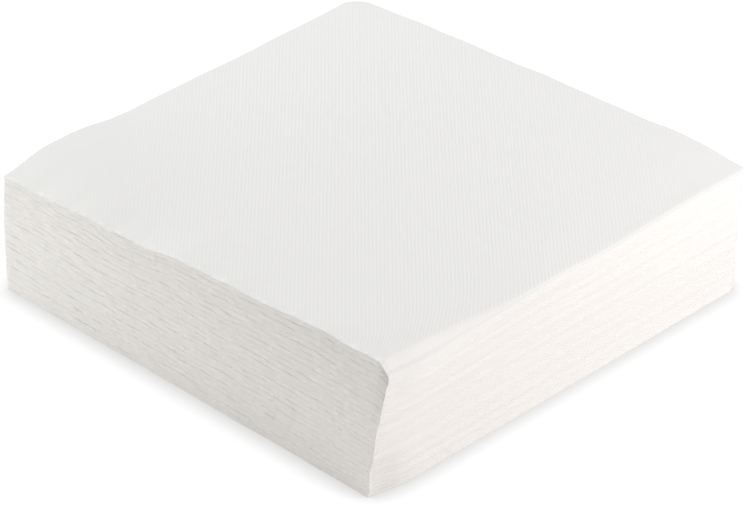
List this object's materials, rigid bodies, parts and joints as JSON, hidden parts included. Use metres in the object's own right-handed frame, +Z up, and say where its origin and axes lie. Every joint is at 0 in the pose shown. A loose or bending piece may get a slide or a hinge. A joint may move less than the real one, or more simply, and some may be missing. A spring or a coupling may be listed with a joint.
{
  "type": "stack of paper napkins",
  "caption": "Square stack of soft white paper napkins, each folded in quarters, lying flat with its upper layers turned slightly.",
  "frame": {"origin": "centre of the stack's box, on the surface that it lies on", "axes": "+Z up through the stack. Each napkin's quarter fold, four layers thick, faces -Y, and its first fold faces +X. The cut edges face +Y and -X."},
  "size_m": [0.2098, 0.207, 0.055],
  "materials": {
    "napkin_paper": "soft matt white paper with a fine linen-like embossing"
  },
  "bodies": {
    "root": {"napkin_01": "napkin_paper", "napkin_02": "napkin_paper", "napkin_03": "napkin_paper", "napkin_04": "napkin_paper", "napkin_05": "napkin_paper", "napkin_06": "napkin_paper", "napkin_07": "napkin_paper", "napkin_08": "napkin_paper", "napkin_09": "napkin_paper", "napkin_10": "napkin_paper", "napkin_11": "napkin_paper", "napkin_12": "napkin_paper", "napkin_13": "napkin_paper", "napkin_14": "napkin_paper", "napkin_15": "napkin_paper", "napkin_16": "napkin_paper", "napkin_17": "napkin_paper", "napkin_18": "napkin_paper", "napkin_19": "napkin_paper", "napkin_20": "napkin_paper", "napkin_21": "napkin_paper", "napkin_22": "napkin_paper", "napkin_23": "napkin_paper", "napkin_24": "napkin_paper", "napkin_25": "napkin_paper"}
  },
  "joints": []
}
